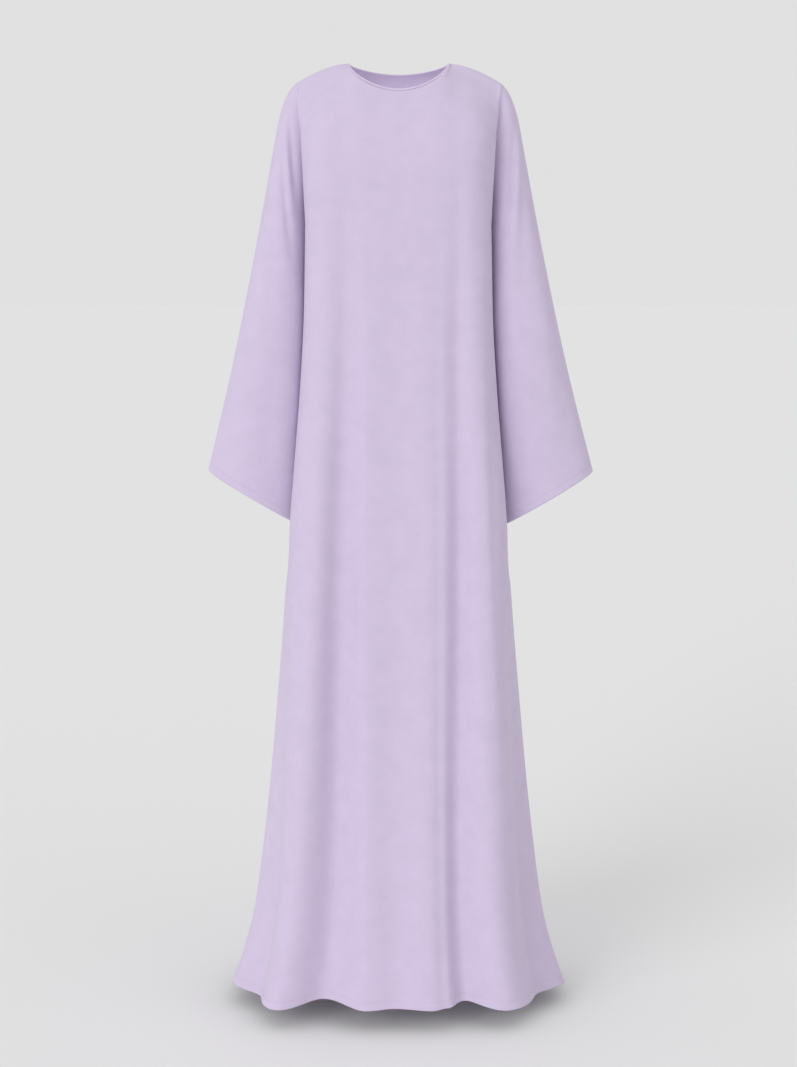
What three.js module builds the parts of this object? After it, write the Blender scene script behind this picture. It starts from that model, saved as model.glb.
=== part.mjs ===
// A plain full-length abaya, filled out as it is worn: front, back, two wide sleeves and a neck binding.
// Millimetres. +Z is up, +X is the wearer's left and -Y is the front. The origin lies midway between
// the two neck points, where the shoulder seams meet the neck edge.

import * as THREE from 'three';

// Cloth
const WALL = 1.6;
const SEAM_GAP = 0.3;
const CLOTH_COLOUR = 0xd1c3de;
const CLOTH_ROUGHNESS = 0.88;

// Length from the neck points to the lowest part of the hem, and down to the underarm
const LENGTH = 1524;
const UNDERARM_DROP = 260;

// Neck edge
const NECK_HALF_WIDTH = 83;
const FRONT_NECK = { drop: 47, depth: 72, squareness: 2.3 };
const BACK_NECK = { drop: 14, depth: 55, squareness: 2.8 };

// Shoulder seam, from the neck point to the shoulder tip
const TIP_X = 168;
const TIP_DROP = 33;
const SHOULDER_BEND = 1.65;

// Armhole and sleeve
const ARMHOLE_DEPTH = 44;

// Chest and upper back: how fast the cloth rolls over from the top edge, and how widely the corner
// at each neck point is softened below that edge
const ROLL = 4;
const FRONT_ROLL = { neck: 1, tip: 0.62 };
const BACK_ROLL = { neck: 0.45, tip: 0.62 };
const ROLL_CHANGE_START = 0.4;
const NECK_POINT_SPREAD = 0.1;
const NECK_POINT_WEIGHTS = [1, 6, 15, 20, 15, 6, 1];

// Lift of the hem where the cloth stands out less than the highest crest, as a share of the
// difference, and the height over which it sets in
const HEM_LIFT = 0.22;
const HEM_LIFT_HEIGHT = 260;
const HIGHEST_CREST = 14;

// The sides are pressed in where the sleeves hang: not at all at the first of these angles from the
// middle of the panel, and fully from the second one to the side seam
const PRESS_START = 62;
const PRESS_FULL = 84;

// Neck binding: its width along the cloth, how far it stands proud of it, and the gap to the panels,
// which is wider than a seam's because the neck edge turns sharply at the neck points
const BINDING_WIDTH = 3.4;
const BINDING_GAP = 0.9;
const BINDING_PROUD = 0.4;
const BINDING_CORNER = 0.8;

// Mesh rows
const YOKE_ROWS = 10;
const SKIRT_ROWS = 18;
const SLEEVE_RINGS = 22;

// Body sections from the underarm down: half width, depths to front and back, squareness of the
// outline, and how far the sides are pressed in beside the sleeves
const SECTIONS = [
  { drop: 260, width: 151, front: 119, back: 106, squareness: 3.5, press: 14 },
  { drop: 320, width: 152, front: 120, back: 107, squareness: 3.5, press: 18 },
  { drop: 400, width: 154, front: 121, back: 108, squareness: 3.5, press: 16 },
  { drop: 520, width: 161, front: 124, back: 110, squareness: 3.4, press: 16 },
  { drop: 640, width: 171, front: 127, back: 112, squareness: 3.3, press: 19 },
  { drop: 750, width: 180, front: 130, back: 115, squareness: 3.3, press: 22 },
  { drop: 795, width: 182, front: 131, back: 117, squareness: 3.3, press: 14 },
  { drop: 845, width: 186, front: 133, back: 119, squareness: 3.2, press: 2 },
  { drop: 920, width: 191, front: 135, back: 122, squareness: 3.2, press: 0 },
  { drop: 1040, width: 201, front: 142, back: 129, squareness: 3.1, press: 0 },
  { drop: 1180, width: 214, front: 151, back: 140, squareness: 3.1, press: 0 },
  { drop: 1300, width: 228, front: 161, back: 152, squareness: 3.0, press: 0 },
  { drop: 1400, width: 243, front: 172, back: 165, squareness: 3.0, press: 0 },
  { drop: 1470, width: 262, front: 183, back: 178, squareness: 3.0, press: 0 },
  { drop: 1524, width: 278, front: 193, back: 190, squareness: 3.0, press: 0 },
];

// Folds of each panel, from left to right as seen from its own side. top is the place on the top
// edge: 0 at the middle of the neck, 1 at the neck point, 2 at the shoulder tip. chest and hem are
// angles from the middle of the panel. out is how far the fold stands out at the hem, growing evenly
// from start down. steps is the number of mesh columns to the next row.
const FRONT_FOLDS = [
  { name: 'right side', top: -2, chest: -90, hem: -90, out: 0, start: 800, steps: 2 },
  { name: 'right side crest', top: -1.964, chest: -80, hem: -78, out: 5, start: 900, steps: 4 },
  { name: 'right side hollow', top: -1.9, chest: -62, hem: -56, out: -25, start: 800, steps: 3 },
  { name: 'right crest', top: -1.5, chest: -41, hem: -38, out: 14, start: 200, steps: 3 },
  { name: 'right trough', top: -1, chest: -27.5, hem: -25, out: -32, start: 200, steps: 3 },
  { name: 'inner right crest', top: -0.6, chest: -18, hem: -11, out: 0, start: 200, steps: 3 },
  { name: 'middle trough', top: 0, chest: -1, hem: -1, out: -7, start: 200, steps: 3 },
  { name: 'inner left crest', top: 0.6, chest: 17, hem: 11, out: 0, start: 200, steps: 2 },
  { name: 'left trough edge', top: 0.8, chest: 24, hem: 16.5, out: -7, start: 200, steps: 3 },
  { name: 'left trough', top: 1, chest: 32, hem: 22.5, out: -28, start: 200, steps: 3 },
  { name: 'left crest', top: 1.5, chest: 42, hem: 34, out: 10, start: 200, steps: 3 },
  { name: 'left side hollow', top: 1.9, chest: 62, hem: 57, out: -29, start: 800, steps: 4 },
  { name: 'left side crest', top: 1.964, chest: 80, hem: 78, out: 5, start: 900, steps: 2 },
  { name: 'left side', top: 2, chest: 90, hem: 90, out: 0, start: 800, steps: 0 },
];

const BACK_FOLDS = [
  { name: 'left side', top: -2, chest: -90, hem: -90, out: 0, start: 800, steps: 4 },
  { name: 'left side hollow', top: -1.9, chest: -62, hem: -58, out: -24, start: 800, steps: 3 },
  { name: 'left crest', top: -1.5, chest: -43, hem: -41, out: 11, start: 240, steps: 3 },
  { name: 'left trough', top: -1, chest: -30, hem: -27, out: -27, start: 240, steps: 3 },
  { name: 'inner left crest', top: -0.55, chest: -17, hem: -14, out: 2, start: 240, steps: 3 },
  { name: 'middle trough', top: 0.1, chest: 3, hem: 2, out: -13, start: 300, steps: 3 },
  { name: 'inner right crest', top: 0.6, chest: 18, hem: 13, out: 4, start: 240, steps: 3 },
  { name: 'right trough', top: 1, chest: 30, hem: 24, out: -30, start: 240, steps: 3 },
  { name: 'right crest', top: 1.5, chest: 43, hem: 38, out: 13, start: 240, steps: 3 },
  { name: 'right side hollow', top: 1.9, chest: 62, hem: 56, out: -22, start: 800, steps: 4 },
  { name: 'right side', top: 2, chest: 90, hem: 90, out: 0, start: 800, steps: 0 },
];

const FRONT = { facing: -1, depth: 'front', neck: FRONT_NECK, roll: FRONT_ROLL, folds: FRONT_FOLDS };
const BACK = { facing: 1, depth: 'back', neck: BACK_NECK, roll: BACK_ROLL, folds: BACK_FOLDS };

// The sleeve's outer line from the shoulder tip to the cuff, its inner line from the underarm to
// the cuff's hidden corner, half its depth between them, and how its section bulges: 1 is an
// ellipse, and less is flatter in front and behind
const SLEEVE = [
  { at: 0, x: 168, drop: 33, innerX: 137, innerDrop: 260, depth: 44, bulge: 1 },
  { at: 0.03, x: 179, drop: 48, innerX: 140, innerDrop: 276, depth: 48, bulge: 0.92 },
  { at: 0.08, x: 192, drop: 83, innerX: 143.5, innerDrop: 301, depth: 54, bulge: 0.84 },
  { at: 0.16, x: 203, drop: 138, innerX: 147, innerDrop: 341, depth: 61, bulge: 0.74 },
  { at: 0.31, x: 221, drop: 234, innerX: 150, innerDrop: 416, depth: 68, bulge: 0.66 },
  { at: 0.52, x: 247, drop: 363, innerX: 154, innerDrop: 522, depth: 69, bulge: 0.64 },
  { at: 0.73, x: 276, drop: 494, innerX: 158.5, innerDrop: 627, depth: 64, bulge: 0.66 },
  { at: 1, x: 318, drop: 663, innerX: 165, innerDrop: 758, depth: 54, bulge: 0.72 },
];

// Both cuffs swing a little to the wearer's left, and the right one hangs a little higher
const CUFF_SWAY = 3.5;
const RIGHT_CUFF_RISE = 5;

const lerp = THREE.MathUtils.lerp;
const smoothStep = THREE.MathUtils.smoothstep;
const toRadians = THREE.MathUtils.degToRad;

// Slope of a table's column at one of its rows: none where the column turns
function slopeAt(table, key, column, row) {
  const slopeAfter = (i) => (table[i + 1][column] - table[i][column]) / (table[i + 1][key] - table[i][key]);
  if (row === 0) return slopeAfter(0);
  if (row === table.length - 1) return slopeAfter(row - 1);
  const before = slopeAfter(row - 1);
  const after = slopeAfter(row);
  return before * after > 0 ? (2 * before * after) / (before + after) : 0;
}

// A table's column read between its rows, on a smooth curve that never passes beyond them
function readTable(table, key, column, place) {
  let row = 0;
  while (row < table.length - 2 && place > table[row + 1][key]) row += 1;
  const span = table[row + 1][key] - table[row][key];
  const t = (place - table[row][key]) / span;
  const startSlope = slopeAt(table, key, column, row) * span;
  const endSlope = slopeAt(table, key, column, row + 1) * span;
  const start = table[row][column] * (1 + 2 * t) * (1 - t) ** 2 + startSlope * t * (1 - t) ** 2;
  const end = table[row + 1][column] * (3 - 2 * t) * t ** 2 - endSlope * (1 - t) * t ** 2;
  return start + end;
}

// Point of a rounded square with half axes of 1, at an angle from its depth axis
function roundedSquare(angle, squareness) {
  const across = Math.sin(angle);
  const depth = Math.cos(angle);
  const reach = (Math.abs(across) ** squareness + Math.abs(depth) ** squareness) ** (-1 / squareness);
  return { across: across * reach, depth: depth * reach };
}

// Mesh columns of a panel: each lies some way between two rows of its folds
function panelColumns(panel) {
  const columns = [];
  panel.folds.forEach((fold, i) => {
    const next = panel.folds[i + 1];
    for (let step = 0; step < fold.steps; step += 1) columns.push({ fold, next, t: step / fold.steps });
  });
  const [fold, next] = panel.folds.slice(-2);
  columns.push({ fold, next, t: 1 });
  return columns;
}

// How far a fold has grown at a drop, from 0 to 1
function foldGrowth(fold, drop) {
  return Math.max(0, (drop - fold.start) / (LENGTH - fold.start));
}

// How far a column stands out of the plain section, as a wave from one fold to the next
function foldOut(column, drop) {
  const wave = (1 - Math.cos(Math.PI * column.t)) / 2;
  const from = column.fold.out * foldGrowth(column.fold, drop);
  const to = column.next.out * foldGrowth(column.next, drop);
  return lerp(from, to, wave);
}

// Share of the pressing in at an angle from the middle of the panel
function pressShare(angle) {
  return smoothStep(Math.abs(angle), PRESS_START, PRESS_FULL);
}

// Point of a panel below the underarm
function skirtPoint(panel, column, drop) {
  const fall = (drop - UNDERARM_DROP) / (LENGTH - UNDERARM_DROP);
  const chestAngle = lerp(column.fold.chest, column.next.chest, column.t);
  const hemAngle = lerp(column.fold.hem, column.next.hem, column.t);
  const angle = lerp(chestAngle, hemAngle, fall);
  const width = readTable(SECTIONS, 'drop', 'width', drop);
  const depth = readTable(SECTIONS, 'drop', panel.depth, drop);
  const squareness = readTable(SECTIONS, 'drop', 'squareness', drop);
  const unit = roundedSquare(toRadians(angle), squareness);

  // outward direction of the plain section
  const normalAcross = Math.sign(unit.across) * Math.abs(unit.across) ** (squareness - 1) / width;
  const normalDepth = Math.abs(unit.depth) ** (squareness - 1) / depth;
  const normalLength = Math.hypot(normalAcross, normalDepth);
  const out = foldOut(column, drop);

  // the sides are pressed in beside the sleeves
  const press = readTable(SECTIONS, 'drop', 'press', drop) * pressShare(angle);

  const across = unit.across * width + out * normalAcross / normalLength - Math.sign(angle) * press;
  const deep = unit.depth * depth + out * normalDepth / normalLength;
  const nearHem = Math.max(0, 1 - (LENGTH - drop) / HEM_LIFT_HEIGHT);
  const lift = HEM_LIFT * (HIGHEST_CREST - out) * nearHem ** 2;
  return new THREE.Vector3(-panel.facing * across, panel.facing * deep, lift - drop);
}

// Point of a panel's top edge: the neck edge, then the shoulder seam
function topPoint(panel, top) {
  const side = -panel.facing * Math.sign(top);
  if (Math.abs(top) > 1) {
    const along = Math.abs(top) - 1;
    const x = lerp(NECK_HALF_WIDTH, TIP_X, along);
    return new THREE.Vector3(side * x, 0, -TIP_DROP * along ** SHOULDER_BEND);
  }
  const { drop, depth, squareness } = panel.neck;
  const unit = roundedSquare(Math.abs(top) * Math.PI / 2, squareness);
  const x = side * NECK_HALF_WIDTH * unit.across;
  return new THREE.Vector3(x, panel.facing * depth * unit.depth, -drop * unit.depth);
}

// Point of the top edge averaged over a short stretch of it, which softens its corners
function softTopPoint(panel, top, spread) {
  const sum = new THREE.Vector3();
  const middle = (NECK_POINT_WEIGHTS.length - 1) / 2;
  const total = NECK_POINT_WEIGHTS.reduce((a, b) => a + b);
  NECK_POINT_WEIGHTS.forEach((weight, i) => {
    sum.addScaledVector(topPoint(panel, top + (i - middle) * spread), weight / total);
  });
  return sum;
}

// Point of a panel between the top edge (turn 0) and the underarm (turn PI). Its side column is
// the armhole, half an ellipse that stands out to the front or back.
function yokePoint(panel, column, turn) {
  const top = lerp(column.fold.top, column.next.top, column.t);
  const down = (1 - Math.cos(turn)) / 2;
  const spread = NECK_POINT_SPREAD * smoothStep(down, 0, 0.3) * smoothStep(2 - Math.abs(top), 0, 0.5);
  const high = softTopPoint(panel, top, spread);
  const low = skirtPoint(panel, column, UNDERARM_DROP);
  const rollChange = smoothStep(Math.abs(top), ROLL_CHANGE_START, 2);
  const roll = (1 - (1 - down) ** ROLL) ** lerp(panel.roll.neck, panel.roll.tip, rollChange);
  const angle = lerp(column.fold.chest, column.next.chest, column.t);
  const beside = smoothStep(Math.abs(angle), PRESS_START, 90);
  const armhole = panel.facing * ARMHOLE_DEPTH * Math.sin(turn) * beside;
  return new THREE.Vector3(
    lerp(high.x, low.x, down),
    lerp(high.y, low.y, roll) + armhole,
    lerp(high.z, low.z, down),
  );
}

// Direction into the garment at the armhole seam of the wearer's left side
function armholeInward(turn, facing) {
  const down = (1 - Math.cos(turn)) / 2;
  const inward = new THREE.Vector3(-0.65 * (1 - down ** 2), -0.7 * facing * Math.sin(turn), -Math.cos(turn));
  return inward.normalize();
}

// Outward directions of a grid of points whose columns run to the right and rows down, seen from outside
function gridNormals(grid, closed) {
  const rows = grid.length;
  const columns = grid[0].length;
  const pick = (row, column) => {
    const r = THREE.MathUtils.clamp(row, 0, rows - 1);
    const c = closed ? (column + columns) % columns : THREE.MathUtils.clamp(column, 0, columns - 1);
    return grid[r][c];
  };
  return grid.map((line, r) => line.map((point, c) => {
    const right = pick(r, c + 1).clone().sub(pick(r, c - 1));
    const up = pick(r - 1, c).clone().sub(pick(r + 1, c));
    return right.cross(up).normalize();
  }));
}

// A grid moved in by the thickness of the wall
function movedIn(grid, normals) {
  return grid.map((line, r) => line.map((point, c) => point.clone().addScaledVector(normals[r][c], -WALL)));
}

// Wall between an outer and an inner grid. closed joins the last column to the first.
function wallGeometry(outer, inner, { closed = false } = {}) {
  const rows = outer.length;
  const columns = outer[0].length;
  const positions = [outer, inner].flat(2).flatMap((point) => point.toArray());
  const at = (layer, row, column) => (layer * rows + row) * columns + (column % columns);
  const triangles = [];
  const quad = (a, b, c, d) => triangles.push(a, b, c, a, c, d);
  const lastColumn = closed ? columns : columns - 1;
  for (let row = 0; row < rows - 1; row += 1) {
    for (let column = 0; column < lastColumn; column += 1) {
      const next = column + 1;
      quad(at(0, row, column), at(0, row + 1, column), at(0, row + 1, next), at(0, row, next));
      quad(at(1, row, column), at(1, row, next), at(1, row + 1, next), at(1, row + 1, column));
    }
  }
  const end = rows - 1;
  for (let column = 0; column < lastColumn; column += 1) {
    const next = column + 1;
    quad(at(0, 0, column), at(0, 0, next), at(1, 0, next), at(1, 0, column));
    quad(at(0, end, column), at(1, end, column), at(1, end, next), at(0, end, next));
  }
  if (!closed) {
    for (let row = 0; row < end; row += 1) {
      const below = row + 1;
      const last = lastColumn;
      quad(at(0, row, 0), at(1, row, 0), at(1, below, 0), at(0, below, 0));
      quad(at(0, row, last), at(0, below, last), at(1, below, last), at(1, row, last));
    }
  }
  const geometry = new THREE.BufferGeometry();
  geometry.setAttribute('position', new THREE.Float32BufferAttribute(positions, 3));
  geometry.setIndex(triangles);
  return geometry;
}

// Outer and inner points of a body panel
function panelGrids(panel) {
  const columns = panelColumns(panel);
  const turns = Array.from({ length: YOKE_ROWS }, (_, i) => Math.PI * i / YOKE_ROWS);
  const drops = Array.from(
    { length: SKIRT_ROWS + 1 },
    (_, i) => lerp(UNDERARM_DROP, LENGTH, i / SKIRT_ROWS),
  );
  const outer = [
    ...turns.map((turn) => columns.map((column) => yokePoint(panel, column, turn))),
    ...drops.map((drop) => columns.map((column) => skirtPoint(panel, column, drop))),
  ];
  const normals = gridNormals(outer, false);
  const last = columns.length - 1;
  const edge = panel.facing * SEAM_GAP / 2;

  // the shoulder and side seams lie in the plane y = 0, half the gap to either side of it
  const seamPlane = (row, column) => {
    outer[row][column].y = edge;
    normals[row][column].setY(0).normalize();
  };
  columns.forEach((column, i) => {
    const top = lerp(column.fold.top, column.next.top, column.t);
    if (Math.abs(top) >= 1) seamPlane(0, i);
  });
  for (let row = YOKE_ROWS; row < outer.length; row += 1) {
    seamPlane(row, 0);
    seamPlane(row, last);
  }

  // the armhole edge and the sleeve share one direction into the garment
  for (let row = 0; row <= YOKE_ROWS; row += 1) {
    const turn = Math.PI * row / YOKE_ROWS;
    [0, last].forEach((column) => {
      const inward = armholeInward(turn, panel.facing);
      const side = Math.sign(outer[row][column].x);
      normals[row][column].set(-side * inward.x, -inward.y, -inward.z);
    });
  }
  return { outer, inner: movedIn(outer, normals), columns };
}

// Outer and inner points of a sleeve, side 1 for the wearer's left and -1 for the right
function sleeveGrids(side) {
  const rings = Array.from({ length: SLEEVE_RINGS + 1 }, (_, i) => (i / SLEEVE_RINGS) ** 1.5);
  const turns = Array.from({ length: 2 * YOKE_ROWS }, (_, i) => -side * Math.PI * i / YOKE_ROWS);
  const rise = side > 0 ? 0 : RIGHT_CUFF_RISE;
  const ringPoint = (at, turn) => {
    const down = (1 - Math.cos(turn)) / 2;
    const read = (column) => readTable(SLEEVE, 'at', column, at);
    const x = lerp(read('x'), read('innerX'), down);
    const drop = lerp(read('drop'), read('innerDrop'), down);
    const bulge = Math.abs(Math.sin(turn)) ** read('bulge');
    const y = -Math.sign(Math.sin(turn)) * read('depth') * bulge;
    return new THREE.Vector3(side * x + CUFF_SWAY * at ** 2, y, rise * at ** 2 - drop);
  };
  const outer = rings.map((at) => turns.map((turn) => ringPoint(at, turn)));
  const normals = gridNormals(outer, true);

  // the first ring lies along the armhole, a seam gap away from the body
  turns.forEach((turn, i) => {
    const facing = Math.sin(turn) > 0 ? -1 : 1;
    const inward = armholeInward(Math.acos(Math.cos(turn)), facing);
    inward.x *= side;
    const along = ringPoint(0, turn + 0.01).sub(ringPoint(0, turn - 0.01));
    const away = along.cross(inward).multiplyScalar(side).normalize();
    outer[0][i].addScaledVector(away, SEAM_GAP);
    normals[0][i].copy(inward).negate();
  });
  return { outer, inner: movedIn(outer, normals) };
}

// Closed loop of the neck edge: the front from right to left, then the back from left to right
function neckLoop(front, back) {
  const neckOf = ({ outer, inner, columns }) => columns
    .map((column, i) => ({
      top: lerp(column.fold.top, column.next.top, column.t),
      edge: outer[0][i],
      normal: outer[0][i].clone().sub(inner[0][i]).normalize(),
    }))
    .filter((place) => Math.abs(place.top) <= 1);
  const frontEdge = neckOf(front);
  const backEdge = neckOf(back);
  return [...frontEdge, ...backEdge.slice(1, -1)];
}

// The binding: a narrow band just inside the neck edge, with its corners taken off
function bindingGeometry(loop) {
  const near = BINDING_GAP;
  const far = BINDING_GAP + BINDING_WIDTH;
  const high = BINDING_PROUD;
  const low = -WALL - BINDING_PROUD;
  const profile = [
    [near, low + BINDING_CORNER],
    [near + BINDING_CORNER, low],
    [far - BINDING_CORNER, low],
    [far, low + BINDING_CORNER],
    [far, high - BINDING_CORNER],
    [far - BINDING_CORNER, high],
    [near + BINDING_CORNER, high],
    [near, high - BINDING_CORNER],
  ];
  const rings = loop.map((place, i) => {
    const before = loop[(i + loop.length - 1) % loop.length];
    const after = loop[(i + 1) % loop.length];
    const along = after.edge.clone().sub(before.edge).normalize();
    const inwards = place.normal.clone().add(before.normal).add(after.normal).cross(along).normalize();
    const outwards = along.cross(inwards);
    return profile.map(([across, up]) => place.edge.clone()
      .addScaledVector(inwards, across)
      .addScaledVector(outwards, up));
  });
  const positions = rings.flat().flatMap((point) => point.toArray());
  const triangles = [];
  rings.forEach((_, i) => {
    const next = (i + 1) % rings.length;
    profile.forEach((__, j) => {
      const after = (j + 1) % profile.length;
      const [a, b] = [i * profile.length + j, i * profile.length + after];
      const [c, d] = [next * profile.length + after, next * profile.length + j];
      triangles.push(a, b, c, a, c, d);
    });
  });
  const geometry = new THREE.BufferGeometry();
  geometry.setAttribute('position', new THREE.Float32BufferAttribute(positions, 3));
  geometry.setIndex(triangles);
  return geometry;
}

function clothMesh(name, geometry) {
  const material = new THREE.MeshStandardMaterial({ color: CLOTH_COLOUR, roughness: CLOTH_ROUGHNESS });
  geometry.computeVertexNormals();
  const mesh = new THREE.Mesh(geometry, material);
  mesh.name = name;
  return mesh;
}

const front = panelGrids(FRONT);
const back = panelGrids(BACK);
const sleeveLeft = sleeveGrids(1);
const sleeveRight = sleeveGrids(-1);

const abaya = new THREE.Group();
abaya.add(
  clothMesh('front_panel', wallGeometry(front.outer, front.inner)),
  clothMesh('back_panel', wallGeometry(back.outer, back.inner)),
  clothMesh('sleeve_left', wallGeometry(sleeveLeft.outer, sleeveLeft.inner, { closed: true })),
  clothMesh('sleeve_right', wallGeometry(sleeveRight.outer, sleeveRight.inner, { closed: true })),
  clothMesh('neck_binding', bindingGeometry(neckLoop(front, back))),
);

export default abaya;
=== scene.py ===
"""The looks of a plain lilac abaya: its fine cloth and sewing, the floor, the camera and the light."""

import math

import bpy
import numpy as np
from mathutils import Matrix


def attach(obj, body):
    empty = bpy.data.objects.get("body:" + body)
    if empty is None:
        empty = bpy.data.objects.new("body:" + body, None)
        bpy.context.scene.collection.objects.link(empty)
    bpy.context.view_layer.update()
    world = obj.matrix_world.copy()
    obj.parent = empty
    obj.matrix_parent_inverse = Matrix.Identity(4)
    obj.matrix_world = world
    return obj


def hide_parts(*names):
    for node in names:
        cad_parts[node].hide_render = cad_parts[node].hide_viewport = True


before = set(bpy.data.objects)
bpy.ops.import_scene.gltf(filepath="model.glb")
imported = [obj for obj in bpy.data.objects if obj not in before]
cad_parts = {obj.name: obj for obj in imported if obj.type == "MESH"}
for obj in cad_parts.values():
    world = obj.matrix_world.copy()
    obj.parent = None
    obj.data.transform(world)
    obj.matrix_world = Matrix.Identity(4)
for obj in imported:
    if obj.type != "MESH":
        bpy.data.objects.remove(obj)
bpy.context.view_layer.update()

# Lengths in the tables and functions below are millimetres, and MM turns them into metres. FAR is a
# distance beyond the reach of every seam.
MM = 0.001
FAR = 1000.0
BODY = "root"

# Cloth: one layer of crepe, the gap between sewn panels, and how the seams dip
CLOTH = 0.9
SEAM_GAP = 0.04
SEAM_DIP = 0.6
ARMHOLE_DIP = 0.15
SEAM_DIP_REACH = 1.7

# Turned hem and cuffs: their depth, the line of stitches, the thickness of the turned cloth and the
# distance over which that ends
TURN_UP = 14.0
STITCH_LINE = 12.0
TURNED_CLOTH = 2.1
TURNED_CLOTH_END = 1.0

# Relief of a turned edge: height, distance from the edge and reach of its fold, groove and step
EDGE_RELIEF = (
    (0.25, 1.6, 2.2),
    (-0.2, STITCH_LINE, 0.9),
    (0.08, TURN_UP + 0.6, 1.2),
)

# Lengths from the neck points down, and a sleeve's from armhole to cuff
LENGTH = 1524.0
UNDERARM_DROP = 260.0
SLEEVE_LENGTH = 640.0

# Neck edge, shoulder seam and armhole
NECK_HALF_WIDTH = 83.0
TIP_X = 168.0
TIP_DROP = 33.0
SHOULDER_BEND = 1.65
ARMHOLE_DEPTH = 44.0

# How far the way into the garment at the armhole seam leans across and in depth
ARMHOLE_IN_ACROSS = 0.65
ARMHOLE_IN_DEPTH = 0.7

# The cloth rolls over the shoulder from its top edge, the sooner the higher ROLL is. The roll of the
# neck starts to change into the tip's at this place of the top edge, where the neck edge runs from 0
# at its centre to 1 at the neck point and the shoulder seam goes on to 2 at the tip.
ROLL = 4.0
ROLL_CHANGE_START = 0.4

# Just below the tip the cloth rolls over more slowly, level with the sleeve, and the strip that takes
# on the armhole's depth is wider, in degrees. The slower roll sets in over its rise, and both fade out
# between their full and gone shares of the yoke's height.
TIP_ROLL_MORE = 0.52
TIP_ROLL_RISE = (-0.03, 0.09)
TIP_ROLL_FULL, TIP_ROLL_GONE = 0.1, 0.45
TIP_BLEND_WIDER = 19.0
TIP_BLEND_FULL, TIP_BLEND_GONE = 0.12, 0.4

# How widely the corner at each neck point is softened along the top edge, the share of the yoke's
# height over which that sets in, and how far before the tip it starts to lessen
NECK_POINT_REACH = 0.42
NECK_POINT_DOWN = 0.06
NECK_POINT_FROM_TIP = 0.6
NECK_POINT_SAMPLES = 17

# Height over which the folds lift the hem
HEM_LIFT_HEIGHT = 260.0

# Angles between which the sides are pressed in beside the sleeves
PRESS_START = 62.0
PRESS_FULL = 84.0

# Distances over which creases fade in from the side seams, the shoulder seams and the armholes, how
# soon each fades towards its ends, and where a sleeve's front and back creases pass into each other
CREASE_FADE_SIDE = 30.0
CREASE_FADE_SHOULDER = 40.0
CREASE_FADE_ARMHOLE = 25.0
CREASE_END_POWER = 1.2
CREASE_FACING = 0.5
CREASE_SAMPLES = 25

# Neck binding: its section, how far it laps over the cloth, how near the shoulder seams it lies level,
# and how often its line and its turns are smoothed
BINDING_WIDTH = 3.6
BINDING_PROUD = 0.38
BINDING_SIDES = 14
BINDING_ROUNDNESS = 0.7
BINDING_LAP = 0.5
BINDING_LEVEL_NEAR = 16.0
BINDING_LINE_PASSES = 12
BINDING_TURN_PASSES = 6

# Stitches: their size and spacing, and the shape of each from end to end
STITCH_LENGTH = 2.6
STITCH_PITCH = 3.4
STITCH_RADIUS = 0.25
STITCH_RAISE = 0.05
STITCH_SIDES = 5
STITCH_RINGS = ((-0.5, 0.35), (-0.32, 1), (0.32, 1), (0.5, 0.35))

# Mesh density. Even rows end a little above a turned edge, and the rest lie at these distances from
# it. Columns beside a side seam are placed by shares of a fold, rings beside an armhole by shares of
# the sleeve's length, where the bend draws the even rings closer together.
COLUMNS_PER_DEGREE = 0.9
LEAST_COLUMNS = 6
YOKE_ROWS = 58
SKIRT_ROWS = 190
EVEN_ROWS_END = 27.0
EDGE_ROWS = np.array([0, 1.2, 2.6, 5, 8, 10.4, 11.3, 12, 12.7, 13.6, 14.4, 15.4, 17.5, 21])
SEAM_COLUMNS = np.array([0.012, 0.03, 0.055])
SLEEVE_COLUMNS = 96
SLEEVE_RINGS = 180
SLEEVE_RINGS_BEND = 1.2
ARMHOLE_RINGS = np.array([0.001, 0.003, 0.006])

# Colours, as linear red, green and blue
LILAC = (0.58, 0.497, 0.668)
# The binding is painted a little lighter than the cloth of the same crepe: a painted highlight along the
# neck edge
BINDING_LILAC_PAINTED_HIGHLIGHT = (0.61, 0.527, 0.695)
THREAD_LILAC = (0.55, 0.465, 0.64)

# Crepe: its surface, the faint clouds of tone and where on them each share of the colour lies
CREPE_SURFACE = {
    "Roughness": 0.88, "Sheen Weight": 0.25, "Sheen Roughness": 0.5, "Specular IOR Level": 0.2,
}
CLOUDS = dict(Scale=34.0, Detail=4.0, Roughness=0.6)
CLOUD_TONES = ((0.3, 0.965), (0.7, 1.02))

# Crepe: the pebbled grain and the wider unevenness, with their heights in metres, and how much of the
# grain the binding and the thread have
PEBBLES = dict(Scale=1300.0, Detail=3.0, Roughness=0.6)
PEBBLE_STRENGTH = 0.35
PEBBLE_HEIGHT = 0.0004
BINDING_GRAIN = 0.6
THREAD_GRAIN = 0
UNEVENNESS = dict(Scale=60.0, Detail=2.0, Roughness=0.5)
UNEVEN_STRENGTH = 0.25
UNEVEN_HEIGHT = 0.002

# Camera: its place and reach in metres, its tilt down in degrees, its sensor's width in millimetres,
# and its focal length as a share of that width
CAMERA_AT = (0, -3.3, -0.324)
CAMERA_TILT = 7.63
CAMERA_REACH = 100
SENSOR = 36
FOCAL_SHARE = 1998.6 / 1067

# Studio: the floor below the hem, and the strength of the light all round
FLOOR_BELOW = 35.0
FLOOR_HALF_WIDTH = 60000
FLOOR_COLOUR = (0.86, 0.86, 0.86, 1)
FLOOR_ROUGHNESS = 0.95
WORLD_STRENGTH = 0.75

# Light from far off: its name, strength, spread, tilt and turn, the last three in degrees
SUNS = (
    ("key", 1.32, 35, 74, -37),
    ("fill", 0.24, 60, 78, 58),
)

# Lamp inside the neck, placed in metres. It stands for the light that comes through thin cloth.
INSIDE_AT = (0, -0.01, -0.16)
INSIDE_WATTS = 0.42
INSIDE_RADIUS = 0.04
INSIDE_COLOUR = (0.97, 1, 0.93)


def table(names, *rows):
    """The columns of a short table, by name."""
    return dict(zip(names.split(), np.array(rows, float).T))


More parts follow.
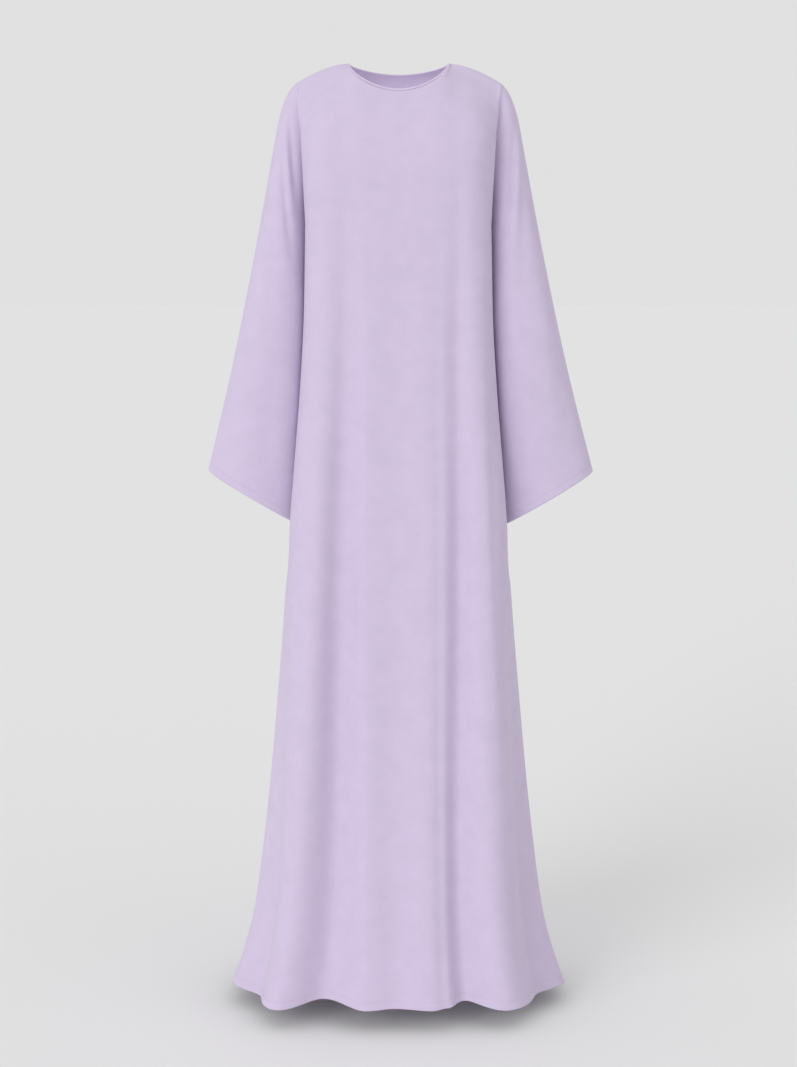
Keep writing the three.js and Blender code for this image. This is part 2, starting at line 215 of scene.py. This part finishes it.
SECTIONS = table(
    "drop width front back squareness press",
    (260, 151, 119, 106, 4.6, 14),
    (320, 152, 120, 107, 4.8, 18),
    (400, 154, 121, 108, 4.8, 16),
    (520, 161, 124, 110, 4.7, 17),
    (640, 171, 127, 112, 4.6, 20),
    (750, 180, 130, 115, 4.5, 22),
    (795, 182, 131, 117, 4.4, 13),
    (845, 187, 133, 119, 4.3, 1),
    (920, 192, 135, 122, 4.2, 0),
    (1040, 201, 142, 129, 4.0, 0),
    (1180, 213, 151, 140, 3.8, 0),
    (1300, 226, 161, 152, 3.6, 0),
    (1400, 240, 172, 165, 3.4, 0),
    (1470, 258, 183, 178, 3.2, 0),
    (1524, 277, 193, 190, 3.0, 0),
)

# Folds of each panel from left to right, as seen from its own side
FRONT_FOLDS = table(
    "top chest hem out start lift",
    (-2, -90, -90, 0, 800, -2.5),
    (-1.964, -80, -78, 5, 900, -3),
    (-1.9, -62, -56, -25, 800, -2),
    (-1.5, -41, -39.5, 14, 200, 0),
    (-1, -27.5, -25, -32, 200, 10),
    (-0.6, -18, -11, 0, 200, 3),
    (0, -1, -1, -7, 200, 4.5),
    (0.6, 17, 11, 0, 200, 3),
    (0.8, 24, 16.5, -7, 200, 5),
    (1, 32, 22.5, -28, 200, 9),
    (1.5, 42, 35.5, 10, 200, 1),
    (1.9, 62, 57, -29, 800, -2),
    (1.964, 80, 78, 5, 900, -3),
    (2, 90, 90, 0, 800, -2.5),
)
BACK_FOLDS = table(
    "top chest hem out start lift",
    (-2, -90, -90, 0, 800, -2.5),
    (-1.9, -62, -58, -24, 800, 3),
    (-1.5, -43, -41, 11, 240, 1),
    (-1, -30, -27, -27, 240, 9),
    (-0.55, -17, -14, 2, 240, 3),
    (0.1, 3, 2, -13, 300, 6),
    (0.6, 18, 13, 4, 240, 2),
    (1, 30, 24, -30, 240, 10),
    (1.5, 43, 38, 13, 240, 0.5),
    (1.9, 62, 56, -22, 800, 3),
    (2, 90, 90, 0, 800, -2.5),
)
FRONT = dict(facing=-1, depth="front", folds=FRONT_FOLDS,
             neck=dict(drop=50, depth=72, squareness=2.3, dip=0.7), roll=dict(neck=1.0, tip=0.62))
BACK = dict(facing=1, depth="back", folds=BACK_FOLDS,
            neck=dict(drop=14, depth=55, squareness=2.8, dip=1.0), roll=dict(neck=0.45, tip=0.62))

# bulge along the outer and the inner line: 1 is an ellipse and less is flatter in front and behind
SLEEVE = table(
    "at x drop inner_x inner_drop depth bulge inner_bulge",
    (0, 168, 33, 137, 260, 44, 1, 1),
    (0.03, 179, 48, 140, 276, 48, 0.92, 0.85),
    (0.08, 192, 83, 143.5, 301, 54, 0.84, 0.62),
    (0.16, 203, 138, 147, 341, 61, 0.74, 0.44),
    (0.31, 221, 234, 150.5, 416, 68, 0.66, 0.34),
    (0.52, 247, 363, 156.5, 522, 70, 0.64, 0.33),
    (0.73, 276, 494, 162.5, 626, 65, 0.66, 0.38),
    (1, 318, 661, 167, 750, 54, 0.72, 0.5),
)

# Both cuffs swing a little to the wearer's left, and the right one hangs a little higher
CUFF_SWAY = 3.5
CUFF_RISE = {1: 1.5, -1: 3.5}

# Soft creases laid on the face that looks to the front or back. Each runs from (x1, drop1)
# to (x2, drop2), bowed sideways by bow at its middle. deep is a ridge where positive.
FRONT_CREASES = table(
    "x1 drop1 x2 drop2 bow wide deep",
    (-118, 60, -122, 380, 4, 20, 1.4),
    (-96, 90, -84, 330, 3, 18, -1.2),
    (138, 80, 116, 420, 3, 20, -1.4),
    (60, 150, 70, 420, 4, 22, -1.0),
    (-83, 200, -109, 1320, 2, 18, -4.0),
    (-90, 220, -92, 640, 1, 15, -1.0),
    (-120, 380, -146, 1350, 3, 15, 1.6),
    (95, 130, 111, 1300, -3, 13.5, -4.5),
    (93, 150, 92, 560, 1, 12, -1.3),
    (76, 380, 80, 1180, 3, 14, 1.6),
    (141, 230, 156, 980, 3, 8, -1.5),
    (-30, 230, -46, 560, 4, 22, 1.1),
    (28, 300, 40, 700, -5, 20, 0.9),
    (-158, 700, -172, 1120, -4, 13, -2.2),
    (165, 690, 182, 1160, 5, 13, -2.2),
    (130, 360, 174, 1300, -4, 9, 1.9),
)
BACK_CREASES = table(
    "x1 drop1 x2 drop2 bow wide deep",
    (-130, 70, -104, 300, 6, 13, -2.2),
    (-104, 80, -86, 360, 4, 15, 1.8),
    (134, 60, 116, 340, -6, 12, -2.6),
    (110, 90, 92, 420, -4, 16, 1.7),
    (-20, 120, -44, 520, 8, 24, 1.4),
    (40, 200, 26, 640, -6, 22, -1.5),
    (158, 690, 176, 1180, 4, 12, -2.4),
    (-160, 720, -178, 1150, -5, 14, -2.3),
    (70, 560, 88, 900, 3, 12, -1.2),
)
SLEEVE_CREASES = {
    1: table(
        "x1 drop1 x2 drop2 bow wide deep",
        (188, 70, 166, 290, 3, 6, -3.2),
        (194, 90, 181, 330, 2, 7, 2.6),
        (204, 150, 203, 400, -3, 9, -2.2),
        (226, 300, 244, 560, 4, 16, 2.0),
        (190, 420, 206, 690, 3, 14, -2.4),
        (262, 470, 286, 660, -3, 16, -2.0),
    ),
    -1: table(
        "x1 drop1 x2 drop2 bow wide deep",
        (-176, 60, -162, 230, -2, 6, -2.4),
        (-182, 70, -170, 260, -2, 6, 2.2),
        (-189, 70, -170, 330, -3, 6, -3.0),
        (-208, 200, -214, 470, 5, 12, -1.8),
        (-236, 360, -256, 610, -4, 18, 1.9),
        (-196, 430, -214, 700, -4, 14, -2.0),
        (-270, 500, -292, 668, 3, 15, -1.8),
    ),
}


def smooth_step(value, start, end):
    """Rises smoothly from 0 at start to 1 at end."""
    t = np.clip((value - start) / (end - start), 0, 1)
    return t * t * (3 - 2 * t)


def read_table(rows, key, column, place):
    """A table's column between its rows, on a smooth curve that never passes beyond them."""
    keys, values = rows[key], rows[column]
    slopes = np.empty(len(keys))
    secants = np.diff(values) / np.diff(keys)
    slopes[0], slopes[-1] = secants[0], secants[-1]
    before, after = secants[:-1], secants[1:]
    turning = before * after <= 0
    slopes[1:-1] = np.where(turning, 0, 2 * before * after / np.where(turning, 1, before + after))
    place = np.asarray(place, float)
    row = np.clip(np.searchsorted(keys, place) - 1, 0, len(keys) - 2)
    span = keys[row + 1] - keys[row]
    t = (place - keys[row]) / span
    start = values[row] * (1 + 2 * t) * (1 - t) ** 2 + slopes[row] * span * t * (1 - t) ** 2
    end = values[row + 1] * (3 - 2 * t) * t**2 - slopes[row + 1] * span * (1 - t) * t**2
    return start + end


def rounded_square(angle, squareness):
    """Point of a rounded square with half axes of 1, at an angle from its depth axis."""
    across, depth = np.sin(angle), np.cos(angle)
    reach = (np.abs(across) ** squareness + np.abs(depth) ** squareness) ** (-1 / squareness)
    return across * reach, depth * reach


def at_places(folds, column, places):
    """A fold table's column at places counted in its rows."""
    return read_table({**folds, "row": np.arange(len(folds[column]))}, "row", column, places)


def wave_between(values, places):
    """Values for each fold, read between them as a wave from one to the next."""
    first = np.minimum(places.astype(int), values.shape[-1] - 2)
    wave = (1 - np.cos(math.pi * (places - first))) / 2
    return values[..., first] * (1 - wave) + values[..., first + 1] * wave


def skirt_points(panel, places, drops):
    """Points of a panel below the underarm, a row for each drop."""
    folds = panel["folds"]
    fall = ((drops - UNDERARM_DROP) / (LENGTH - UNDERARM_DROP))[:, None]
    angle = at_places(folds, "chest", places) * (1 - fall) + at_places(folds, "hem", places) * fall
    width, depth, squareness, press = (
        read_table(SECTIONS, "drop", name, drops)[:, None]
        for name in ("width", panel["depth"], "squareness", "press")
    )
    across, deep = rounded_square(np.radians(angle), squareness)
    normal_across = np.sign(across) * np.abs(across) ** (squareness - 1) / width
    normal_deep = np.abs(deep) ** (squareness - 1) / depth
    normal_length = np.hypot(normal_across, normal_deep)
    grown = np.clip((drops[:, None] - folds["start"]) / (LENGTH - folds["start"]), 0, None)
    out = wave_between(folds["out"] * grown, places)
    pressed = np.sign(angle) * press * smooth_step(np.abs(angle), PRESS_START, PRESS_FULL)
    x = across * width + out * normal_across / normal_length - pressed
    y = deep * depth + out * normal_deep / normal_length
    near_hem = np.clip(1 - (LENGTH - drops) / HEM_LIFT_HEIGHT, 0, None)[:, None]
    z = wave_between(folds["lift"], places) * near_hem**2 - drops[:, None]
    return np.stack([-panel["facing"] * x, panel["facing"] * y, z], axis=-1)


def top_points(panel, tops):
    """Points of a panel's top edge: the neck edge, then the shoulder seam."""
    side = -panel["facing"] * np.sign(tops)
    neck = panel["neck"]
    across, deep = rounded_square(np.minimum(np.abs(tops), 1) * math.pi / 2, neck["squareness"])
    along = np.clip(np.abs(tops) - 1, 0, None)
    on_shoulder = NECK_HALF_WIDTH + (TIP_X - NECK_HALF_WIDTH) * along
    x = np.where(along > 0, on_shoulder, NECK_HALF_WIDTH * across)
    y = np.where(along > 0, 0, panel["facing"] * neck["depth"] * deep)
    dip = np.clip(1 - across**2, 0, 1) ** neck["dip"]
    z = np.where(along > 0, -TIP_DROP * along**SHOULDER_BEND, -neck["drop"] * dip)
    return np.stack([side * x, y, z], axis=-1)


def yoke_points(panel, places, turns):
    """Points of a panel between its top edge (turn 0) and the underarm (turn pi)."""
    tops = at_places(panel["folds"], "top", places)
    down = (1 - np.cos(turns))[:, None] / 2
    from_tip = 2 - np.abs(tops)
    reach = NECK_POINT_REACH * smooth_step(down, 0, NECK_POINT_DOWN)
    reach = reach * smooth_step(from_tip, 0, NECK_POINT_FROM_TIP)
    samples = np.linspace(-1, 1, NECK_POINT_SAMPLES)
    weights = np.cos(samples * math.pi / 2) ** 2
    high = sum(weight * top_points(panel, tops + sample * reach)
               for sample, weight in zip(samples, weights / weights.sum()))
    low = skirt_points(panel, places, np.array([UNDERARM_DROP]))
    roll_change = smooth_step(np.abs(tops), ROLL_CHANGE_START, 2)
    neck_roll, tip_roll = panel["roll"]["neck"], panel["roll"]["tip"]
    slower = smooth_step(down, *TIP_ROLL_RISE) * smooth_step(-down, -TIP_ROLL_GONE, -TIP_ROLL_FULL)
    tip_roll = tip_roll + TIP_ROLL_MORE * slower
    roll = (1 - (1 - down) ** ROLL) ** (neck_roll + (tip_roll - neck_roll) * roll_change)
    wider = smooth_step(-down, -TIP_BLEND_GONE, -TIP_BLEND_FULL)
    blend_start = PRESS_START - TIP_BLEND_WIDER * wider
    beside = smooth_step(np.abs(at_places(panel["folds"], "chest", places)), blend_start, 90)
    armhole = panel["facing"] * ARMHOLE_DEPTH * np.sin(turns)[:, None] * beside
    points = high + (low - high) * down[..., None]
    points[..., 1] = high[..., 1] + (low[..., 1] - high[..., 1]) * roll + armhole
    return points


def sleeve_points(side, ats, turns):
    """Points of a sleeve, a ring for each place from the armhole (0) to the cuff (1)."""
    down = (1 - np.cos(turns)) / 2
    x, drop, inner_x, inner_drop, depth, bulge, inner_bulge = (
        read_table(SLEEVE, "at", name, ats)[:, None]
        for name in ("x", "drop", "inner_x", "inner_drop", "depth", "bulge", "inner_bulge")
    )
    bulge = bulge + (inner_bulge - bulge) * down * (np.sin(turns) > 0)
    hang = ats[:, None] ** 2
    return np.stack([
        side * (x + (inner_x - x) * down) + CUFF_SWAY * hang,
        -depth * np.sign(np.sin(turns)) * np.abs(np.sin(turns)) ** bulge,
        CUFF_RISE[side] * hang - (drop + (inner_drop - drop) * down),
    ], axis=-1)


def unit(vectors):
    """The vectors at a length of 1."""
    return vectors / np.maximum(np.linalg.norm(vectors, axis=-1, keepdims=True), 1e-9)


def grid_normals(grid, closed):
    """Outward directions of a grid whose columns run right and rows down, seen from outside."""
    if closed:
        right = np.roll(grid, -1, axis=1) - np.roll(grid, 1, axis=1)
    else:
        right = np.gradient(grid, axis=1)
    up = -np.gradient(grid, axis=0)
    return unit(np.cross(right, up))


def crease_out(grid, creases):
    """How far the listed creases push each point of a grid out, by its place seen from front or back."""
    samples = np.linspace(0, 1, CREASE_SAMPLES)
    across, drop = grid[..., 0], -grid[..., 2]
    total = np.zeros(across.shape)
    rows = zip(*(creases[name] for name in ("x1", "drop1", "x2", "drop2", "bow", "wide", "deep")))
    for x1, drop1, x2, drop2, bow, wide, deep in rows:
        line_x = x1 + (x2 - x1) * samples + bow * np.sin(math.pi * samples)
        line_drop = drop1 + (drop2 - drop1) * samples
        distance = across - np.interp(drop, line_drop, line_x)
        fade = np.sin(math.pi * np.clip((drop - drop1) / (drop2 - drop1), 0, 1)) ** CREASE_END_POWER
        total += deep * fade * np.exp(-((distance / wide) ** 2))
    return total


def edge_distance(grid, axis, start):
    """Distance along the grid from its first row or column, or from its last."""
    steps = np.linalg.norm(np.diff(grid, axis=axis), axis=-1)
    first = np.zeros_like(np.take(steps, [0], axis=axis))
    if start:
        return np.concatenate([first, np.cumsum(steps, axis=axis)], axis=axis)
    back = np.flip(np.cumsum(np.flip(steps, axis=axis), axis=axis), axis=axis)
    return np.concatenate([back, first], axis=axis)


def hem_relief(distance):
    """Relief at a distance from a turned edge."""
    return sum(height * np.exp(-((distance - at) / reach) ** 2) for height, at, reach in EDGE_RELIEF)


def cloth_layers(distance):
    """Thickness of the cloth at a distance from a turned edge."""
    single = smooth_step(distance, TURN_UP, TURN_UP + TURNED_CLOTH_END)
    return TURNED_CLOTH + (CLOTH - TURNED_CLOTH) * single


def link_mesh(name, points, faces, smooth=True):
    """An object of the points, in millimetres, and the faces between them."""
    mesh = bpy.data.meshes.new(name)
    mesh.from_pydata((points * MM).tolist(), [], faces)
    mesh.validate()
    mesh.polygons.foreach_set("use_smooth", [smooth] * len(mesh.polygons))
    piece = bpy.data.objects.new(name, mesh)
    bpy.context.scene.collection.objects.link(piece)
    return piece


def shell(name, outer, inner, closed):
    """Closed cloth shell: outer grid, rounded lower edge, inner grid and rounded upper edge."""
    def edge(row, beside, thick):
        middle = (outer[row] + inner[row]) / 2
        return middle + unit(middle - (outer[beside] + inner[beside]) / 2) * thick / 2

    thickness = np.linalg.norm(outer - inner, axis=-1)
    lower = edge(-1, -2, thickness[-1][:, None])
    upper = edge(0, 1, thickness[0][:, None])
    loop = np.concatenate([outer, lower[None], inner[::-1], upper[None]])
    rows, columns = loop.shape[:2]
    index = np.arange(rows * columns).reshape(rows, columns)
    after = np.roll(index, -1, axis=0)
    if closed:
        index_right, after_right = np.roll(index, -1, axis=1), np.roll(after, -1, axis=1)
        quads = np.stack([index, after, after_right, index_right], axis=-1)
        return link_mesh(name, loop.reshape(-1, 3), quads.reshape(-1, 4).tolist())
    quads = np.stack([index[:, :-1], after[:, :-1], after[:, 1:], index[:, 1:]], axis=-1)
    faces = quads.reshape(-1, 4).tolist()
    count = len(outer)
    for column, flip in ((0, False), (columns - 1, True)):
        down = index[:count, column]
        up = index[count + 1:2 * count + 1, column][::-1]
        low, high = index[count, column], index[-1, column]
        sides = [[down[i], up[i], up[i + 1], down[i + 1]] for i in range(count - 1)]
        sides += [[down[-1], up[-1], low], [high, up[0], down[0]]]
        faces += [[int(v) for v in (side[::-1] if flip else side)] for side in sides]
    return link_mesh(name, loop.reshape(-1, 3), faces)


def panel_places(folds):
    """Where a panel's mesh columns lie between its folds, closer together at the seams."""
    wanted = np.round(COLUMNS_PER_DEGREE * np.diff(folds["hem"]))
    counts = np.maximum(LEAST_COLUMNS, wanted).astype(int)
    even = np.concatenate([i + np.arange(count) / count for i, count in enumerate(counts)])
    last = len(counts)
    return np.unique(np.concatenate([even, SEAM_COLUMNS, last - SEAM_COLUMNS, [last]]).round(6))


def skirt_drops():
    """Drops of a panel's mesh rows, closer together at the turned hem."""
    even = np.linspace(UNDERARM_DROP, LENGTH - EVEN_ROWS_END, SKIRT_ROWS)
    return np.unique(np.concatenate([even, LENGTH - EDGE_ROWS]))


def armhole_inward(turns, facing):
    """Direction into the garment at the armhole seam of the wearer's left side."""
    down = (1 - np.cos(turns)) / 2
    across = -ARMHOLE_IN_ACROSS * (1 - down**2)
    return unit(np.stack([across, -ARMHOLE_IN_DEPTH * facing * np.sin(turns), -np.cos(turns)], axis=-1))


def panel_grids(panel, creases):
    """Outer and inner points of a body panel, and its columns' places on the top edge."""
    places = panel_places(panel["folds"])
    turns = np.linspace(0, math.pi, YOKE_ROWS, endpoint=False)
    drops = skirt_drops()
    outer = np.concatenate([yoke_points(panel, places, turns), skirt_points(panel, places, drops)])
    normals = grid_normals(outer, closed=False)
    tops = at_places(panel["folds"], "top", places)

    # the side and shoulder seams lie in the plane y = 0
    shoulder = np.abs(tops) >= 1
    for rows, columns in ((slice(YOKE_ROWS, None), 0), (slice(YOKE_ROWS, None), -1), (0, shoulder)):
        outer[rows, columns, 1] = panel["facing"] * SEAM_GAP / 2
        normals[rows, columns, 1] = 0
    for column in (0, -1):
        inward = armhole_inward(turns, panel["facing"])
        side = np.sign(outer[0, column, 0])
        normals[:YOKE_ROWS, column] = -inward * np.array([side, 1, 1])
    normals = unit(normals)

    from_side = np.minimum(edge_distance(outer, 1, True), edge_distance(outer, 1, False))
    side_dip = np.where(np.arange(len(outer)) < YOKE_ROWS, ARMHOLE_DIP, SEAM_DIP)[:, None]
    from_top = np.where(shoulder, edge_distance(outer, 0, True), FAR)
    from_hem = edge_distance(outer, 0, False)
    relief = crease_out(outer, creases) * smooth_step(from_side, 0, CREASE_FADE_SIDE)
    relief *= smooth_step(from_top, 0, CREASE_FADE_SHOULDER)
    relief += hem_relief(from_hem) - np.maximum(
        side_dip * np.exp(-(from_side / SEAM_DIP_REACH) ** 2),
        SEAM_DIP * np.exp(-(from_top / SEAM_DIP_REACH) ** 2),
    )
    outer = outer + normals * relief[..., None]
    inner = outer - normals * cloth_layers(from_hem)[..., None]
    return dict(outer=outer, inner=inner, tops=tops, normals=normals)


def sleeve_grids(side):
    """Outer and inner points of a sleeve, side 1 for the wearer's left and -1 for the right."""
    even = np.linspace(0, 1 - EVEN_ROWS_END / SLEEVE_LENGTH, SLEEVE_RINGS) ** SLEEVE_RINGS_BEND
    ats = np.unique(np.concatenate([even, ARMHOLE_RINGS, 1 - EDGE_ROWS / SLEEVE_LENGTH]))
    turns = -side * np.linspace(0, 2 * math.pi, SLEEVE_COLUMNS, endpoint=False)
    outer = sleeve_points(side, ats, turns)
    normals = grid_normals(outer, closed=True)

    facing = np.where(np.sin(turns) > 0, -1, 1)
    inward = armhole_inward(np.arccos(np.cos(turns)), facing) * np.array([side, 1, 1])
    normals[0] = -inward

    from_armhole = edge_distance(outer, 0, True)
    from_cuff = edge_distance(outer, 0, False)
    other = SLEEVE_CREASES[-side]
    mirrored = {**other, **{name: -other[name] for name in ("x1", "x2", "bow")}}
    to_back = normals[..., 1]
    creases = crease_out(outer, SLEEVE_CREASES[side]) * smooth_step(-to_back, 0, CREASE_FACING)
    creases += crease_out(outer, mirrored) * smooth_step(to_back, 0, CREASE_FACING)
    relief = creases * smooth_step(from_armhole, 0, CREASE_FADE_ARMHOLE) + hem_relief(from_cuff)
    relief -= ARMHOLE_DIP * np.exp(-(from_armhole / SEAM_DIP_REACH) ** 2)
    outer = outer + normals * relief[..., None]
    inner = outer - normals * cloth_layers(from_cuff)[..., None]
    return dict(outer=outer, inner=inner, normals=normals)


def neck_loop(front, back):
    """Points and outward directions round the neck edge: the front from right to left, then the back."""
    rows = []
    for name in ("outer", "normals"):
        front_part, back_part = (
            grids[name][0][np.abs(grids["tops"]) <= 1] for grids in (front, back)
        )
        rows.append(np.concatenate([front_part, back_part[1:-1]]))
    return rows


def binding(points, normals):
    """Rounded bias strip wrapped over the neck edge."""
    for _ in range(BINDING_LINE_PASSES):
        points = (np.roll(points, -1, axis=0) + 2 * points + np.roll(points, 1, axis=0)) / 4
    for _ in range(BINDING_TURN_PASSES):
        normals = unit(np.roll(normals, -1, axis=0) + normals + np.roll(normals, 1, axis=0))
    along = unit(np.roll(points, -1, axis=0) - np.roll(points, 1, axis=0))
    inwards = np.cross(normals, along)
    # level across the shoulder seams, so that the strip doesn't stand up at the neck points
    inwards[:, 2] *= 1 - np.exp(-(points[:, 1] / BINDING_LEVEL_NEAR) ** 2)
    inwards = unit(inwards)
    normals = unit(np.cross(along, inwards))
    turns = np.linspace(0, 2 * math.pi, BINDING_SIDES, endpoint=False)
    across, up = (np.sign(wave) * np.abs(wave) ** BINDING_ROUNDNESS
                  for wave in (np.cos(turns), np.sin(turns)))
    middle = points + inwards * (BINDING_WIDTH / 2 - BINDING_LAP) - normals * CLOTH / 2
    rings = (middle[:, None] + inwards[:, None] * (across * BINDING_WIDTH / 2)[None, :, None]
             + normals[:, None] * (up * (CLOTH / 2 + BINDING_PROUD))[None, :, None])
    index = np.arange(rings.shape[0] * BINDING_SIDES).reshape(rings.shape[:2])
    after = np.roll(index, -1, axis=0)
    quads = np.stack([index, np.roll(index, -1, axis=1), np.roll(after, -1, axis=1), after], axis=-1)
    return link_mesh("neck_binding_cloth", rings.reshape(-1, 3), quads.reshape(-1, 4).tolist())


def line_at(grids, columns, distance):
    """The line over a grid at a distance from its lower edge, with its outward directions."""
    outer, normals = grids["outer"][:, columns], grids["normals"][:, columns]
    from_edge = edge_distance(outer, 0, False)
    points = [[np.interp(distance, from_edge[::-1, c], source[::-1, c, axis]) for axis in range(3)]
              for source in (outer, normals) for c in range(outer.shape[1])]
    points, directions = np.array(points).reshape(2, -1, 3)
    return points, unit(directions)


def stitches(name, lines):
    """A row of short stitches, half sunk in the cloth, along each line of points and directions."""
    turns = np.linspace(0, 2 * math.pi, STITCH_SIDES, endpoint=False)
    rings = np.arange(len(STITCH_RINGS) * STITCH_SIDES).reshape(-1, STITCH_SIDES)
    after = np.roll(rings, -1, axis=1)
    sides = np.stack([rings[:-1], rings[1:], after[1:], after[:-1]], axis=-1).reshape(-1, 4)
    points, faces = [], []
    for line, directions in lines:
        reach = np.concatenate([[0], np.cumsum(np.linalg.norm(np.diff(line, axis=0), axis=1))])
        places = np.arange(STITCH_PITCH, reach[-1] - STITCH_PITCH, STITCH_PITCH)
        at, out, ahead = (
            np.stack([np.interp(places, reach, source[:, axis]) for axis in range(3)], axis=-1)
            for source in (line, directions, unit(np.gradient(line, axis=0)))
        )
        side = unit(np.cross(out, ahead))
        for centre, up, forward, beside in zip(at + out * STITCH_RAISE, out, ahead, side):
            first = len(points)
            for step, share in STITCH_RINGS:
                middle = centre + forward * step * STITCH_LENGTH
                radius = share * STITCH_RADIUS
                points += [middle + radius * (math.cos(t) * up + math.sin(t) * beside) for t in turns]
            faces += (sides + first).tolist()
            faces += [(rings[0] + first).tolist(), (rings[-1][::-1] + first).tolist()]
    return link_mesh(name, np.array(points), faces)


def finish_piece(piece, material, slot, *nodes):
    """Gives a piece its material and body, and hides the nodes that it replaces. Its slot is not used.
    """
    piece.data.materials.append(material)
    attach(piece, BODY)
    if nodes:
        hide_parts(*nodes)


def add_node(tree, kind, **values):
    """A shader node with its inputs set by name."""
    node = tree.nodes.new(kind)
    for name, value in values.items():
        node.inputs[name].default_value = value
    return node


def add_bump(tree, place, noise, strength, height):
    """Bumps of a noise, with a strength and a height in metres."""
    bumps = add_node(tree, "ShaderNodeTexNoise", **noise)
    tree.links.new(place, bumps.inputs["Vector"])
    bump = add_node(tree, "ShaderNodeBump", Strength=strength, Distance=height)
    tree.links.new(bumps.outputs["Fac"], bump.inputs["Height"])
    return bump


def crepe(name, colour, grain=1.0):
    """Matte crepe: a fine pebbled grain, faint clouds of tone and a soft sheen."""
    material = bpy.data.materials.new(name)
    material.use_nodes = True
    tree = material.node_tree
    shader = tree.nodes["Principled BSDF"]
    for setting, value in CREPE_SURFACE.items():
        shader.inputs[setting].default_value = value
    place = tree.nodes.new("ShaderNodeTexCoord").outputs["Object"]

    clouds = add_node(tree, "ShaderNodeTexNoise", **CLOUDS)
    tree.links.new(place, clouds.inputs["Vector"])
    tone = tree.nodes.new("ShaderNodeValToRGB")
    for stop, (at, share) in zip(tone.color_ramp.elements, CLOUD_TONES):
        stop.position = at
        stop.color = (*(min(1, c * share) for c in colour), 1)
    tree.links.new(clouds.outputs["Fac"], tone.inputs["Fac"])
    tree.links.new(tone.outputs["Color"], shader.inputs["Base Color"])

    pebbles = add_bump(tree, place, PEBBLES, PEBBLE_STRENGTH * grain, PEBBLE_HEIGHT)
    uneven = add_bump(tree, place, UNEVENNESS, UNEVEN_STRENGTH, UNEVEN_HEIGHT)
    tree.links.new(pebbles.outputs["Normal"], uneven.inputs["Normal"])
    tree.links.new(uneven.outputs["Normal"], shader.inputs["Normal"])
    return material


def add_camera():
    """The camera of the front view, looking slightly down."""
    camera = bpy.data.objects.new("camera", bpy.data.cameras.new("camera"))
    camera.location = CAMERA_AT
    camera.rotation_euler = (math.radians(90 - CAMERA_TILT), 0, 0)
    camera.data.sensor_width = SENSOR
    camera.data.lens = SENSOR * FOCAL_SHARE
    camera.data.clip_end = CAMERA_REACH
    bpy.context.scene.collection.objects.link(camera)
    bpy.context.scene.camera = camera


def add_light(name, kind, energy):
    """A light of a kind and strength, linked to the scene."""
    light = bpy.data.objects.new(name, bpy.data.lights.new(name, kind))
    light.data.energy = energy
    bpy.context.scene.collection.objects.link(light)
    return light


def add_studio():
    """Near-white floor and world, broad light from the front left, weak fill and a lamp in the neck."""
    corners = np.array([[-1, -1], [1, -1], [1, 1], [-1, 1]]) * FLOOR_HALF_WIDTH
    points = np.column_stack([corners, np.full(4, -LENGTH - FLOOR_BELOW)])
    floor = link_mesh("floor", points, [[0, 1, 2, 3]], smooth=False)
    paint = bpy.data.materials.new("floor_paint")
    paint.use_nodes = True
    shader = paint.node_tree.nodes["Principled BSDF"]
    shader.inputs["Base Color"].default_value = FLOOR_COLOUR
    shader.inputs["Roughness"].default_value = FLOOR_ROUGHNESS
    shader.inputs["Specular IOR Level"].default_value = 0
    floor.data.materials.append(paint)

    world = bpy.data.worlds.new("studio")
    world.use_nodes = True
    background = world.node_tree.nodes["Background"]
    background.inputs["Color"].default_value = (1, 1, 1, 1)
    background.inputs["Strength"].default_value = WORLD_STRENGTH
    bpy.context.scene.world = world
    bpy.context.scene.view_settings.view_transform = "Standard"

    for name, energy, spread, tilt, turn in SUNS:
        sun = add_light(name, "SUN", energy)
        sun.data.angle = math.radians(spread)
        sun.rotation_euler = (math.radians(tilt), 0, math.radians(turn))
    inside = add_light("inside_light", "POINT", INSIDE_WATTS)
    inside.data.color = INSIDE_COLOUR
    inside.data.shadow_soft_size = INSIDE_RADIUS
    inside.location = INSIDE_AT


add_camera()
add_studio()

cloth = crepe("lilac_crepe", LILAC)
front = panel_grids(FRONT, FRONT_CREASES)
back = panel_grids(BACK, BACK_CREASES)
sleeve_left = sleeve_grids(1)
sleeve_right = sleeve_grids(-1)

front_piece = shell("front_cloth", front["outer"], front["inner"], closed=False)
back_piece = shell("back_cloth", back["outer"], back["inner"], closed=False)
left_piece = shell("sleeve_left_cloth", sleeve_left["outer"], sleeve_left["inner"], closed=True)
right_piece = shell("sleeve_right_cloth", sleeve_right["outer"], sleeve_right["inner"], closed=True)
finish_piece(front_piece, cloth, "cloth", "front_panel")
finish_piece(back_piece, cloth, "cloth", "back_panel")
finish_piece(left_piece, cloth, "cloth", "sleeve_left")
finish_piece(right_piece, cloth, "cloth", "sleeve_right")

# the binding's crepe is painted lighter than the cloth, a painted highlight along the neck edge
binding_cloth_painted_highlight = crepe("lilac_binding_painted_highlight", BINDING_LILAC_PAINTED_HIGHLIGHT, BINDING_GRAIN)
neck_piece = binding(*neck_loop(front, back))
finish_piece(neck_piece, binding_cloth_painted_highlight, "binding", "neck_binding")

thread = crepe("lilac_thread", THREAD_LILAC, THREAD_GRAIN)
hem_lines = [line_at(panel, slice(None), STITCH_LINE) for panel in (front, back)]
cuff_columns = list(range(SLEEVE_COLUMNS)) + [0]
cuff_lines = [line_at(sleeve, cuff_columns, STITCH_LINE) for sleeve in (sleeve_left, sleeve_right)]
finish_piece(stitches("hem_stitches", hem_lines), thread, "thread")
finish_piece(stitches("cuff_stitches", cuff_lines), thread, "thread")
